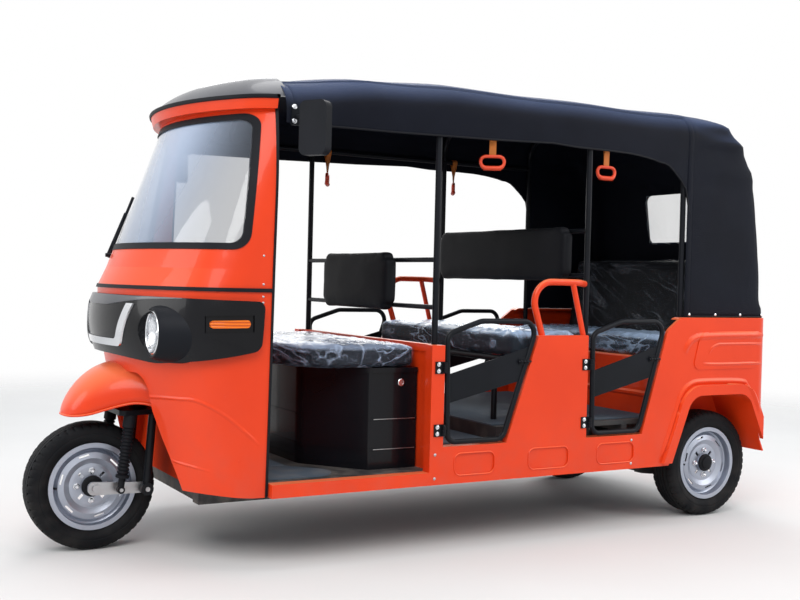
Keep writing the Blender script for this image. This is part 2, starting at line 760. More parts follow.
@dataclass
class Canopy:
    """Fabric roof: one continuous sheet over the bows, with seams, hems and studs."""
    frame: dict
    front: float = 548.0
    hoop: float = 2546.0
    back: float = 3060.0
    half: float = 612.0
    ring_z: float = 1700.0
    bottom_z: float = 937.6
    bows: tuple = (548.0, 780.0, 1280.0, 1972.0, 2524.0)
    hem: tuple = ((548.0, 1640.0), (1000.0, 1646.0), (1680.0, 1661.0), (2090.0, 1660.0), (2180.0, 1658.0),
                  (2260.0, 1651.0), (2330.0, 1640.0), (2390.0, 1622.0), (2440.0, 1598.0), (2480.0, 1570.0),
                  (2510.0, 1537.0), (2530.0, 1500.0), (2541.0, 1458.0), (2546.0, 1410.0))
    window: tuple = (165.0, 1310.0, 1560.0)
    studs: tuple = (2562.0, 2727.0, 2890.0, 3035.0)
    back_studs: tuple = (-520.0, -312.0, -104.0, 104.0, 312.0, 520.0)
    # Points in a row over the roof, rows below its ring, low rows, rows of the dome, rows of the roof
    arc: int = 95
    lower: int = 8
    low_rows: int = 22
    dome_rows: int = 18
    roof_rows: int = 74
    arc_low: float = 18.1
    # Heights of the hoops that show at the back, and their rise, widths and run out
    rear_hoops: tuple = (1822.0, 1736.0, 1604.0)
    hoop_rise: float = 0.013
    hoop_widths: tuple = (0.030, 0.016)
    hoop_run: float = 0.18
    smoothings: int = 14
    tape: tuple = (0.016, 0.0016)
    flat: tuple = (2.9, 3.3)
    area: float = 6.4

    def hem_z(self, station: float) -> float:
        """Height of the valance's lower edge."""
        for (s0, z0), (s1, z1) in zip(self.hem, self.hem[1:]):
            if station <= s1:
                return z0 + (z1 - z0) * max(0.0, station - s0) / (s1 - s0)
        return self.hem[-1][1]

    def prepare(self) -> None:
        """Reads the CAD skin for placing points on it."""
        mesh = self.frame["nodes"]["canopy"].data
        self.tree = BVHTree.FromPolygons([v.co for v in mesh.vertices], [p.vertices for p in mesh.polygons])

    def on_skin(self, target: Vector, inside: Vector) -> Vector:
        """Point of the CAD skin's outer face in the direction of a target."""
        ray = (target - inside).normalized()
        hit, _, _, _ = self.tree.ray_cast(inside + ray * 2.5, -ray)
        if hit is None or (hit - inside).dot(ray) < 0.6 * (target - inside).length:
            hit = self.tree.find_nearest(target)[0]
        return hit

    def arc_row(self, station: float) -> list:
        """Points over the roof at a station, from the left ring height to the right one."""
        core = at(station, 0, 1500)
        low = math.radians(self.arc_low)
        row = []
        for k in range(self.arc):
            angle = math.pi * k / (self.arc - 1)
            spread = low + (math.pi - 2 * low) * (angle / math.pi)
            target = core + Vector((0, math.cos(spread), math.sin(spread))) * 0.7
            row.append(self.on_skin(target, core))
        return row

    def side_point(self, station: float, z: float, side: int) -> Vector:
        """Point on the canopy's flat side."""
        core = at(station, 0, z)
        return self.on_skin(at(station, side * 650, z), core)

    def rear_ring(self, z: float) -> list:
        """Level ring from the left of the hoop round the back to the right."""
        core = at(self.hoop, 0, z)
        reach = self.back - self.hoop
        run = 2 * (reach + self.half)
        row = []
        for k in range(self.arc):
            d = run * k / (self.arc - 1)
            if d < reach:
                spot = (self.hoop + d, self.half)
            elif d > run - reach:
                spot = (self.hoop + run - d, -self.half)
            else:
                spot = (self.back, self.half - (d - reach))
            row.append(self.on_skin(at(*spot, z), core))
        return row

    def roof(self) -> list:
        """Rows of points over the roof, each from hem to hem."""
        rows = []
        for station in self.stations():
            hem = self.hem_z(station)
            tall = self.ring_z - hem
            row = [self.side_point(station, hem + tall * k / self.lower, 1) for k in range(self.lower)]
            row += self.arc_row(station)
            row += [self.side_point(station, self.ring_z - tall * k / self.lower, -1)
                    for k in range(1, self.lower + 1)]
            rows.append([self.relaxed(p, station) for p in row])
        return rows

    def rings(self) -> list:
        """Level rings round the back, from the lower edge up to the roof's ring."""
        hem = self.hem_z(self.hoop)
        heights = [self.bottom_z + (hem - self.bottom_z) * k / self.low_rows for k in range(self.low_rows)]
        heights += [hem + (self.ring_z - hem) * k / self.lower for k in range(self.lower + 1)]
        return [self.rear_ring(z) for z in heights]

    def dome(self) -> list:
        """Rows from the top ring up to the last bow."""
        crown = self.arc_row(self.hoop)
        ring = self.rear_ring(self.ring_z)
        core = at(2560, 0, 1650)
        rows = [ring]
        for i in range(1, self.dome_rows):
            share = i / self.dome_rows
            rows.append([self.on_skin(a.lerp(b, share), core) if 0 < k < self.arc - 1 else b
                         for k, (a, b) in enumerate(zip(ring, crown))])
        return [*rows, crown]

    def build(self) -> None:
        """Makes the sheet with its trimmings."""
        self.prepare()
        roof, rings = self.roof(), self.rings()
        form = Form().grid(roof)
        form.grid([[self.rippled(p) for p in ring] for ring in rings])
        form.grid(self.dome())
        sheet = form.build("canopy_cloth", "canopy_fabric", merge=0.0015)
        self.ease(sheet)
        self.cut_window(sheet)
        thick = sheet.modifiers.new("cloth", "SOLIDIFY")
        thick.thickness, thick.offset = 0.0025, -1.0
        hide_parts("canopy")
        trims = self.trims(roof, rings)

    def ease(self, sheet: bpy.types.Object) -> None:
        """Smooths the rear quarters, then lets the three rear hoops show through the cloth."""
        work = bmesh.new()
        work.from_mesh(sheet.data)
        back = AXLE_X - (self.hoop + 40.0) / 1000
        loose = [v for v in work.verts if v.co.x < back and v.co.z > 1.0 and not v.is_boundary]
        for _ in range(self.smoothings):
            bmesh.ops.smooth_vert(work, verts=loose, factor=0.5, use_axis_x=True, use_axis_y=True,
                                  use_axis_z=True)
        core = at(self.hoop, 0, 1450)
        for v in loose:
            behind = min(1.0, (back - v.co.x) / self.hoop_run)
            out = v.co - core
            for z in self.rear_hoops:
                gap = v.co.z - z / 1000
                width = self.hoop_widths[0 if gap > 0 else 1]
                v.co += out.normalized() * self.hoop_rise * behind * math.exp(-(gap / width) ** 2)
        work.to_mesh(sheet.data)
        work.free()

    def stations(self) -> list:
        """Even stations of the roof's rows, from its front edge to the hoop."""
        run, last = self.hoop - self.front - 1.5, self.roof_rows - 1
        return [self.front + 1.5 + run * k / last for k in range(self.roof_rows)]

    def relaxed(self, point: Vector, station: float) -> Vector:
        """A roof point let down between the bows."""
        for s0, s1 in zip(self.bows, self.bows[1:]):
            if s0 <= station <= s1:
                share = math.sin(math.pi * (station - s0) / (s1 - s0)) ** 2
                top = clamp((point.z - 1.76) / 0.12)
                sag = share * (0.0010 + 0.004 * top * min(1.0, (s1 - s0) / 500))
                wave = 0.0008 * noise.noise(Vector((point.x * 5, point.y * 9, point.z * 9)))
                inward = Vector((0, -point.y * (1 - top), -0.3 - top)).normalized()
                return point + inward * (sag + abs(wave))
        return point

    def rippled(self, point: Vector) -> Vector:
        """A point of the rear quarter with soft vertical ripples."""
        drop = clamp((1.69 - point.z) / 0.4) * clamp((point.z - 0.94) / 0.05)
        wave = noise.noise(Vector((point.x * 6, point.y * 6, point.z * 1.3)))
        core = Vector((AXLE_X - 2.75, 0, point.z))
        return point + (core - point).normalized() * (0.003 * drop * (wave + 1))

    def cut_window(self, sheet: bpy.types.Object) -> None:
        """Opens the sheet over the rear window, with a clean edge."""
        half, low, high = (v / 1000 for v in self.window)
        behind, near = AXLE_X - 2.95, 0.12
        work = bmesh.new()
        work.from_mesh(sheet.data)
        back = [v for v in work.verts if v.co.x < behind and abs(v.co.y) < half + near
                and low - near < v.co.z < high + near]
        faces = {f for v in back for f in v.link_faces}
        edges = {e for f in faces for e in f.edges}
        for spot, way in (((0, half, 0), (0, 1, 0)), ((0, -half, 0), (0, -1, 0)),
                          ((0, 0, low), (0, 0, -1)), ((0, 0, high), (0, 0, 1))):
            cut = bmesh.ops.bisect_plane(work, geom=[*{v for f in faces for v in f.verts}, *edges, *faces],
                                         plane_co=spot, plane_no=way)
            faces |= {g for g in cut["geom"] if isinstance(g, bmesh.types.BMFace)}
            faces = {f for f in faces if f.is_valid}
            edges = {e for f in faces for e in f.edges}
        gone = []
        for face in work.faces:
            spot = face.calc_center_median()
            if spot.x < behind and abs(spot.y) < half and low < spot.z < high:
                gone.append(face)
        bmesh.ops.delete(work, geom=gone, context="FACES")
        work.to_mesh(sheet.data)
        work.free()

    @staticmethod
    def add_tape(form: Form, line: Sequence[Vector], across: Sequence[Vector], out: Sequence[Vector],
                 width: float, rise: float) -> None:
        """Adds a raised seam tape along a line."""
        rows = []
        for here, side, up in zip(line, across, out):
            rows.append([here - side * width, here - side * width * 0.8 + up * rise, here + up * rise * 1.15,
                         here + side * width * 0.8 + up * rise, here + side * width])
        form.grid(rows)

    def trims(self, roof: list, rings: list) -> list:
        """Makes seam tapes, edge binding and the studs at the lower edge."""
        seams = Form()
        middle = 1.5
        for line in (roof[0], [self.on_skin(p, Vector((p.x, 0, middle))) for p in roof[-1]]):
            outs = [Vector((0, p.y, p.z - middle)).normalized() for p in line]
            self.add_tape(seams, line, [AHEAD] * len(line), outs, *self.tape)
        for end, side in ((0, 1), (-1, -1)):
            line = [ring[end] for ring in rings]
            self.add_tape(seams, line, [AHEAD] * len(line), [outward(side)] * len(line), *self.tape)
        for column in (17, len(roof[0]) - 18):
            line = [row[column] for row in roof]
            outs = [Vector((0, p.y, 0.45)).normalized() for p in line]
            ups = [Vector((0, -o.z, o.y)) for o in outs]
            self.add_tape(seams, line, ups, outs, 0.009, 0.0018)
        tapes = seams.build("canopy_seams", "canopy_fabric")
        binding = Form()
        for column in (0, -1):
            binding.tube([row[column] for row in roof], 0.0042, 8)
        binding.tube([p + Vector((0, 0, 0.004)) for p in rings[0]], 0.0042, 8)
        edge = binding.build("canopy_binding", "rubber")
        studs = Form()
        stud_z = self.bottom_z + 12.0
        spots = [(at(station, side * FAR_OUT, stud_z), -outward(side))
                 for station in self.studs for side in TWO_SIDES]
        spots += [(at(3400.0, y, stud_z), (1, 0, 0)) for y in self.back_studs]
        for start, way in spots:
            hit, normal, _, _ = self.tree.ray_cast(Vector(start), Vector(way))
            out = normal if normal.dot(Vector(way)) < 0 else -normal
            studs.lathe([(-0.002, 0.0075), (0.0012, 0.0075), (0.0030, 0.0052), (0.0036, 0.0)], hit, out, 18)
        heads = studs.build("canopy_studs", "chrome")
        return [tapes, edge, heads, *self.window_pieces()]

    def window_pieces(self) -> list:
        """Makes the clear pane and the sewn frame that rounds the window's corners."""
        half, low, high = self.window
        pane, frame = Form(), Form()
        count = 22
        rows = []
        for i in range(count):
            row = []
            for k in range(count):
                y = (half + 10) * (2 * k / (count - 1) - 1)
                z = low - 10 + (high - low + 20) * i / (count - 1)
                hit = self.on_skin(at(3100.0, y, z), at(2600.0, y, z))
                wave = noise.noise(Vector((0, y * 0.02, z * 0.02)))
                row.append(hit + Vector((0.0045 + 0.0012 * wave, 0, 0)))
            rows.append(row)
        pane.grid(rows)

        def loop(grow: float, radius: float, lift: float) -> list:
            """Rounded loop round the window on the skin."""
            corners = oblong(-half - grow, half + grow, low - grow, high + grow, radius)
            return [self.on_skin(at(3100.0, y, z), at(2600.0, y, z)) - Vector((lift / 1000, 0, 0))
                    for y, z in rounded(corners, lambda a, b: (a, b), 10)]

        rims = [loop(-1.0, 42.0, -2.0), loop(-1.0, 42.0, 1.6), loop(10.0, 48.0, 2.2), loop(22.0, 54.0, 1.6),
                loop(24.0, 55.0, -0.5)]
        frame.grid([[rim[k] for rim in rims] for k in range(len(rims[0]))], True)
        sheet = pane.build("window_pane", "clear_film")
        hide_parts("rear_window")
        return [sheet, frame.build("window_frame", "canopy_fabric")]


@dataclass
class Wheel:
    """One wheel: treaded tyre, nuts, cap and valve."""
    name: str
    body: str
    centre: tuple
    outward: int
    steps: int = 240

    def profile(self) -> list:
        """(offset from the middle, radius, tread depth) points from bead to bead."""
        half = [(50.8, 157.2, 0), (50.8, 166.0, 0), (51.5, 172.0, 0), (57.0, 176.5, 0), (62.5, 184.0, 0),
                (66.2, 195.0, 0), (67.2, 203.0, 0), (66.4, 204.2, 0), (66.4, 207.0, 0), (67.4, 208.2, 0),
                (66.8, 218.0, 0), (65.0, 226.0, 0), (63.2, 231.5, 1), (60.0, 236.5, 1), (55.5, 240.6, 1),
                (49.0, 243.4, 1), (43.5, 244.6, 1), (42.6, 238.6, 0), (39.4, 238.6, 0), (38.6, 245.3, 0),
                (30.0, 246.2, 0), (21.4, 246.6, 0), (20.6, 240.4, 0), (17.4, 240.4, 0), (16.6, 246.8, 0),
                (8.0, 247.0, 0), (1.9, 247.0, 0), (1.2, 241.5, 0)]
        return half + [(-y, r, c) for y, r, c in reversed(half)]

    def tyre(self) -> None:
        """Makes the tyre with ribs, grooves and shoulder blocks."""
        form = Form()
        middle = Vector(self.centre)
        rows = []
        for k, angle in enumerate(turns(self.steps)):
            row = []
            for y, r, tread in self.profile():
                phase = k + (2 if y > 0 else 0)
                cut = 5.0 if tread and phase % 5 == 0 else 0.0
                fine = 0.9 if 20 < abs(y) < 39 and r > 244 and phase % 5 in (1, 3) else 0.0
                row.append(middle + Vector((math.cos(angle) * (r - cut - fine), y,
                                            math.sin(angle) * (r - cut - fine))) / 1000)
            rows.append(row)
        form.grid(rows, True)
        tyre = form.build(f"{self.name}_tread", "tyre", self.body)
        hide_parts(f"{self.name}_tyre")

    def fittings(self) -> None:
        """Makes the wheel nuts, the hub cap and the valve."""
        nuts, cap = Form(), Form()
        middle = Vector(self.centre)
        out = outward(self.outward)
        sides = TWO_SIDES if self.name == "front" else (self.outward,)
        for side in sides:
            way = outward(side)
            face = 0.0325 if side == self.outward else 0.024
            for angle in turns(4):
                spot = middle + Vector((math.cos(angle) * 0.058, 0, math.sin(angle) * 0.058))
                nuts.lathe([(0.0, 0.0), (0.0, 0.0125), (0.002, 0.0132), (0.0025, 0.0105), (0.010, 0.0105),
                            (0.0125, 0.008), (0.0125, 0.0)], spot + way * face, way, 6)
                nuts.lathe([(0.010, 0.0055), (0.0165, 0.0055), (0.0175, 0.0045), (0.0175, 0.0)],
                           spot + way * face, way, 12)
        cap.lathe([(0.0, 0.040), (0.004, 0.0415), (0.010, 0.039), (0.012, 0.030), (0.0135, 0.030),
                   (0.0135, 0.0125)], middle + out * 0.0405, out, 36)
        if self.name != "front":
            cap.lathe([(0.011, 0.030), (0.018, 0.028), (0.0205, 0.020), (0.021, 0.0)],
                      middle + out * 0.0405, out, 36)
        valve = middle + Vector((0.149, 0, 0)) + out * 0.028
        cap.tube([valve, valve + out * 0.016 + Vector((-0.006, 0, 0)),
                  valve + out * 0.026 + Vector((-0.010, 0, 0))], 0.0042, 10)
        nuts.build(f"{self.name}_nuts", "chrome", self.body, smooth=False)
        cap.build(f"{self.name}_hub_cap", "matte_black", self.body)

    def build(self) -> None:
        """Makes the wheel's pieces."""
        self.tyre()
        self.fittings()


class Cover(Enum):
    """What lies over a pad."""
    BARE = "bare"
    SEAT_FILM = "seat_film"
    SHADE_FILM = "shade_film"
    BACK_FILM = "back_film"


@dataclass
class Pad:
    """A stuffed seat pad made from its CAD solid, with a crowned top and film where it has one."""
    frame: dict
    node: str
    cover: Cover
    face: tuple
    crown: float = 0.010
    voxel: float = 0.009
    cap: float = 0.012
    shrink: float = 0.006
    folds: float = 0.0025
    press: float = 1.0
    corner: float = 0.0
    pressure: float = 4.0
    stiffness: float = 12.0
    bending: float = 0.6
    frames: int = 20

    def start_mesh(self) -> bpy.types.Object:
        """Copy of the solid, a little smaller and evenly meshed."""
        source = self.frame["nodes"][self.node].data
        mesh = bpy.data.meshes.new(f"{self.node}_pad")
        mesh.from_pydata([v.co.copy() for v in source.vertices], [],
                         [tuple(p.vertices) for p in source.polygons])
        work = bmesh.new()
        work.from_mesh(mesh)
        bmesh.ops.remove_doubles(work, verts=work.verts, dist=0.0002)
        bmesh.ops.recalc_face_normals(work, faces=work.faces)
        work.to_mesh(mesh)
        work.free()
        low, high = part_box(self.node)
        middle, size = (low + high) / 2, high - low
        for v in mesh.vertices:
            v.co = middle + Vector(((v.co - middle)[i] * (1 - 2 * self.shrink / size[i]) for i in range(3)))
        pad = bpy.data.objects.new(f"{self.node}_pad", mesh)
        bpy.context.scene.collection.objects.link(pad)
        even = pad.modifiers.new("even", "REMESH")
        even.mode, even.voxel_size = "VOXEL", self.voxel
        self.apply(pad)
        return pad

    @staticmethod
    def apply(thing: bpy.types.Object) -> None:
        """Turns an object's modifiers into its mesh."""
        graph = bpy.context.evaluated_depsgraph_get()
        mesh = bpy.data.meshes.new_from_object(thing.evaluated_get(graph))
        thing.modifiers.clear()
        thing.data = mesh

    def inflate(self, pad: bpy.types.Object) -> None:
        """Swells the pad by a cloth simulation, and caps how far it moves."""
        rest = [v.co.copy() for v in pad.data.vertices]
        cloth = pad.modifiers.new("swell", "CLOTH")
        settings = cloth.settings
        settings.quality = 4
        settings.use_pressure = True
        settings.uniform_pressure_force = self.pressure
        settings.effector_weights.gravity = 0.0
        settings.tension_stiffness = settings.compression_stiffness = self.stiffness
        settings.bending_stiffness = self.bending
        cloth.collision_settings.use_collision = False
        scene = bpy.context.scene
        cloth.point_cache.frame_start, cloth.point_cache.frame_end = 1, self.frames
        for step in range(1, self.frames + 1):
            scene.frame_set(step)
        self.apply(pad)
        scene.frame_set(1)
        for v, start in zip(pad.data.vertices, rest):
            move = v.co - start
            if move.length > self.cap:
                v.co = start + move.normalized() * self.cap

    def settle(self, pad: bpy.types.Object) -> None:
        """Adds the crown, the piped edge's pull and folds, inside the CAD solid's space."""
        low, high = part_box(self.node)
        middle, half = (low + high) / 2, (high - low) / 2
        seam_axis = max(range(3), key=lambda i: abs(self.face[i]))
        wide = [i for i in range(3) if i != seam_axis]
        way = math.copysign(1, self.face[seam_axis])
        for v in pad.data.vertices:
            share = [(v.co[i] - middle[i]) / half[i] for i in range(3)]
            over = [max(0.0, abs(v.co[i] - middle[i]) - half[i] + self.corner) for i in wide]
            if min(over) > 0:
                squeeze = max(over) / math.hypot(*over)
                for i, extra in zip(wide, over):
                    v.co[i] -= math.copysign(extra * (1 - squeeze), v.co[i] - middle[i])
            front = share[seam_axis] * way
            edge = max(0.0, 1 - max(abs(share[i]) for i in wide) ** 6)
            bow = (1 - share[wide[0]] ** 2) * (1 - share[wide[1]] ** 2)
            if front > 0.2:
                v.co[seam_axis] += way * self.crown * bow * edge
            spot = v.co * 5.5
            fold = noise.noise(spot) + 0.5 * noise.noise(spot * 2.3)
            out = (v.co - middle).normalized()
            v.co += out * fold * self.folds
            for i in range(3):
                v.co[i] = min(high[i] + 0.006, max(low[i] + 0.0006, v.co[i]))
            v.co.z = low.z + (v.co.z - low.z) * self.press

    def film(self, pad: bpy.types.Object) -> None:
        """Loose clear film over the pad, crumpled into ridges."""
        skin = bpy.data.objects.new(f"{self.node}_film", pad.data.copy())
        bpy.context.scene.collection.objects.link(skin)
        low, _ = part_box(self.node)
        normals = [v.normal.copy() for v in skin.data.vertices]
        for v, normal in zip(skin.data.vertices, normals):
            spot = v.co * 13.0
            ridge = (1 - abs(noise.noise(spot + Vector((3, 7, 1)))) * 2) ** 2
            small = (1 - abs(noise.noise(spot * 2.4 + Vector((9, 2, 5)))) * 2) ** 2
            v.co += normal * (0.0015 + 0.0050 * max(ridge, 0) + 0.0022 * max(small, 0))
            v.co.z = max(v.co.z, low.z + 0.0004)
        skin.data.shade_smooth()
        dress(skin, self.cover.value, "body")

    def build(self) -> None:
        """Makes the pad and its cover."""
        pad = self.start_mesh()
        self.inflate(pad)
        self.settle(pad)
        pad.data.shade_smooth()
        dress(pad, "vinyl", "body")
        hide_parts(self.node)
        if self.cover is not Cover.BARE:
            self.film(pad)


class Skin:
    """Finds points on the outside of CAD nodes."""

    def __init__(self, frame: dict, *nodes: str) -> None:
        """Joins the nodes' meshes into one search tree."""
        points, faces = [], []
        for node in nodes:
            mesh, base = frame["nodes"][node].data, len(points)
            points += [v.co.copy() for v in mesh.vertices]
            faces += [tuple(base + i for i in p.vertices) for p in mesh.polygons]
        self.tree = BVHTree.FromPolygons(points, faces)

    def hit(self, start: Point, way: Point) -> tuple:
        """First point met from a start along a direction, with the normal that faces the start."""
        way = Vector(way).normalized()
        spot, normal, _, _ = self.tree.ray_cast(Vector(start), way)
        if spot is None:
            spot, normal, _, _ = self.tree.find_nearest(Vector(start))
        return spot, (normal if normal.dot(way) < 0 else -normal)

    def from_side(self, station: float, side: int, z: float) -> tuple:
        """First point met from far out on a side at a station and a height, with its normal."""
        return self.hit(at(station, side * FAR_OUT, z), -outward(side))


def bolt(form: Form, spot: Point, out: Point, radius: float = 0.005) -> None:
    """Adds a washer and a hexagon head."""
    form.lathe([(-0.001, radius * 1.5), (radius * 0.22, radius * 1.5), (radius * 0.3, radius * 1.35),
                (radius * 0.3, radius * 0.8)], spot, out, 20)
    form.lathe([(radius * 0.28, radius), (radius * 0.95, radius), (radius * 1.15, radius * 0.8),
                (radius * 1.18, 0.0)], spot, out, 6)


def rivet(form: Form, spot: Point, out: Point, radius: float = 0.0055) -> None:
    """Adds a low domed head."""
    form.lathe([(-0.001, radius), (radius * 0.22, radius), (radius * 0.5, radius * 0.68),
                (radius * 0.62, 0.0)], spot, out, 16)


@dataclass
class Headlamps:
    """Round lamps: bezel, faceted bowl, bulb shield and ribbed lens."""
    station: float = 142.0
    y: float = 418.0
    z: float = 862.0
    depth: float = 0.030
    bezel: float = 0.080
    lens: float = 0.0725
    dome: float = 0.190
    flute: float = 0.0085
    # Station, radius and outward shift of the rings round each lamp
    shroud: tuple = ((120.0, 81.5, 0.0), (109.0, 83.0, 0.0), (105.0, 86.5, 0.0), (105.5, 90.5, 1.0),
                     (110.0, 94.0, 2.0), (124.0, 99.0, 5.0), (146.0, 103.5, 11.0), (174.0, 106.5, 20.0),
                     (206.0, 107.0, 32.0), (240.0, 104.0, 44.0), (276.0, 96.0, 56.0), (312.0, 82.0, 66.0))
    around: int = 72
    lens_rings: int = 14
    bowl_rings: int = 9

    def shrouds(self) -> None:
        """Swelling barrels round the lamps, which sink into the nose panel behind."""
        form = Form()
        for side in TWO_SIDES:
            rows = []
            for s, radius, shift in smooth_path(self.shroud, 3):
                rows.append([at(s, side * (self.y + shift + radius * math.cos(a)),
                                self.z - 0.12 * shift + radius * math.sin(a)) for a in turns(self.around)])
            form.grid(rows, False, True)
        form.build("headlamp_shrouds", "matte_black")

    def build(self) -> None:
        """Makes both lamps."""
        self.shrouds()
        rim, bowl, bulb, glass = Form(), Form(), Form(), Form()
        for side in TWO_SIDES:
            back = at(self.station, side * self.y, self.z)
            rim.lathe([(0.0, self.lens), (0.0, self.bezel), (self.depth, self.bezel),
                       (self.depth + 0.004, self.bezel - 0.0015), (self.depth + 0.0055, self.bezel - 0.0045),
                       (self.depth + 0.003, self.lens), (self.depth - 0.006, self.lens - 0.001)],
                      back, AHEAD, 64, True)
            shares = [k / self.bowl_rings for k in range(self.bowl_rings + 1)]
            bowl.lathe([(0.003 + 0.021 * t ** 2, 0.010 + (self.lens - 0.012) * t) for t in shares],
                       back, AHEAD, 40)
            bulb.lathe([(0.003, 0.0105), (0.016, 0.0105), (0.0215, 0.007), (0.023, 0.0)], back, AHEAD, 24)
            rows = []
            base = math.sqrt(self.dome ** 2 - self.lens ** 2)
            for i in range(self.lens_rings + 1):
                radius = self.lens * (1 - (i / self.lens_rings) ** 1.3 * 0.985)
                fade = min(1.0, (self.lens - radius) * 120)
                row = []
                for angle in turns(self.around):
                    y, z = radius * math.cos(angle), radius * math.sin(angle)
                    rib = 0.0006 * math.cos(2 * math.pi * y / self.flute) * fade
                    out = self.depth + math.sqrt(self.dome ** 2 - radius ** 2) - base + rib
                    row.append(back + Vector((out, y, z)))
                rows.append(row)
            glass.grid(rows, False, True)
            first = len(glass.points) - self.around
            glass.faces.append(tuple(range(first, first + self.around)))
        shell = rim.build("headlamp_bezels", "chrome")
        bowl.build("headlamp_bowls", "lamp_bowl", slot="chrome", smooth=False)
        bulb.build("headlamp_shields", "chrome")
        glass.build("headlamp_lenses", "lamp_glass")
        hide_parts("headlamps")


@dataclass
class Fender:
    """Front mudguard: a crowned shell with a round tip and rolled edges, closed up to the cab."""
    # Station, half width, crown height and lower edge height of each section
    sections: tuple = (
        (-114.0, 10.0, 536.0, 527.0), (-107.0, 46.0, 556.0, 526.0), (-92.0, 82.0, 588.0, 527.0),
        (-66.0, 114.0, 629.0, 531.0), (-30.0, 140.0, 669.0, 540.0), (15.0, 162.0, 702.0, 556.0),
        (65.0, 184.0, 723.0, 572.0), (115.0, 206.0, 733.0, 582.0), (160.0, 226.0, 736.0, 578.0),
        (190.0, 238.0, 732.0, 566.0))
    around: int = 33
    sheet: float = 0.003
    bead: float = 0.0042

    def build(self) -> None:
        """Makes the fender."""
        columns = [smooth_path([(s, w, t) for s, w, t, _ in self.sections], 6),
                   smooth_path([(s, e, 0.0) for s, _, _, e in self.sections], 6)]
        rows = []
        for (s, w, top), (_, low, _) in zip(*columns):
            row = []
            for k in range(self.around):
                a = math.pi * (k / (self.around - 1) - 0.5)
                y = w * math.copysign(abs(math.sin(a)) ** 0.86, a)
                row.append(at(s, y, low + (top - low) * max(0.0, math.cos(a)) ** 0.72))
            rows.append(row)
        shell = Form().grid(rows)
        tip = len(shell.points)
        shell.points.append(at(self.sections[0][0] - 2.0, 0, self.sections[0][3] + 3.0))
        shell.faces += [(k, k + 1, tip) for k in range(self.around - 1)]
        fender = shell.build("fender_shell", "orange_paint", merge=0.0001)
        thick = fender.modifiers.new("sheet", "SOLIDIFY")
        thick.thickness, thick.offset = self.sheet, -1.0
        rim = [row[-1] for row in reversed(rows)] + [row[0] for row in rows]
        edge = Form().tube(rim, self.bead, 10)
        edge.tube(rows[-1], self.bead, 10)
        edge.build("fender_bead", "orange_paint")
        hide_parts("front_fender")


@dataclass
class Swages:
    """Pressed ridges of the rear body, the sills and the cab's flank."""
    frame: dict
    # Node, half width, rise and (station, z) points of each open ridge
    ridges: tuple = (
        ("rear_body", 19.0, 8.0, ((2506, 772), (2522, 812), (2562, 842), (2629, 852), (2800, 855),
                                  (3036, 856))),
        ("rear_body", 7.0, 3.5, ((2650, 768), (2668, 796), (2700, 812), (2756, 816), (3034, 816))),
        ("rear_body", 8.0, 4.5, ((2612, 726), (2700, 723), (2820, 723), (3030, 724))),
        ("rear_body", 15.0, 8.0, ((2379, 312), (2426, 424), (2462, 520), (2490, 590), (2540, 632),
                                  (2620, 645), (2862, 640), (2908, 618), (2946, 566), (2984, 486))),
        ("cab_lower_shell", 9.0, 3.5, ((118, 604), (160, 616), (208, 619), (262, 616), (340, 566),
                                       (455, 462))),
        ("cab_lower_shell", 7.0, 3.0, ((196, 384), (250, 371), (312, 358))))
    # First and last station of the pressed ovals' rims, and their heights
    ovals: tuple = ((1275.0, 1470.0), (1640.0, 1850.0), (2005.0, 2215.0))
    oval_z: tuple = (301.5, 389.5)
    oval_corner: float = 30.0
    oval_rim: float = 0.003
    sill_y: float = 650.3
    run_out: float = 40.0

    def strip(self, form: Form, skin: Skin, line: Sequence[Vector], half: float, rise: float,
              side: int) -> None:
        """Adds a rounded ridge along a line of (station, z) on one side of the vehicle.

        Args:
            form: the form that it goes to.
            skin: the surface that it stands on.
            line: points of its middle.
            half: half its width in millimetres.
            rise: its height in millimetres.
            side: 1 for the left, -1 for the right.
        """
        rows = []
        for i, here in enumerate(line):
            along = (line[min(i + 1, len(line) - 1)] - line[max(i - 1, 0)]).normalized()
            across = Vector((-along.y, along.x))
            fade = min(1.0, (here - line[0]).length / self.run_out, (here - line[-1]).length / self.run_out)
            row = []
            for share in (-1.0, -0.75, -0.5, -0.25, 0.0, 0.25, 0.5, 0.75, 1.0):
                spot = here + across * half * share
                hit, normal = skin.from_side(spot.x, side, spot.y)
                height = rise * fade * (0.5 + 0.5 * math.cos(math.pi * share)) + 0.15
                row.append(hit + normal * height / 1000)
            rows.append(row)
        form.grid(rows)

    def build(self) -> None:
        """Makes the ridges on both sides."""
        form = Form()
        skins = {node: Skin(self.frame, node) for node in ("rear_body", "cab_lower_shell")}
        for side in TWO_SIDES:
            for node, half, rise, points in self.ridges:
                line = [p.to_2d() for p in smooth_path([(a, b, 0) for a, b in points], 8)]
                self.strip(form, skins[node], line, half, rise, side)
            low, high = self.oval_z
            for start, end in self.ovals:
                loop = rounded(oblong(start, end, low, high, self.oval_corner),
                               lambda a, b: at(a, side * self.sill_y, b), 8)
                form.tube(loop, self.oval_rim, 8, True)
        form.build("pressed_ridges", "orange_paint")


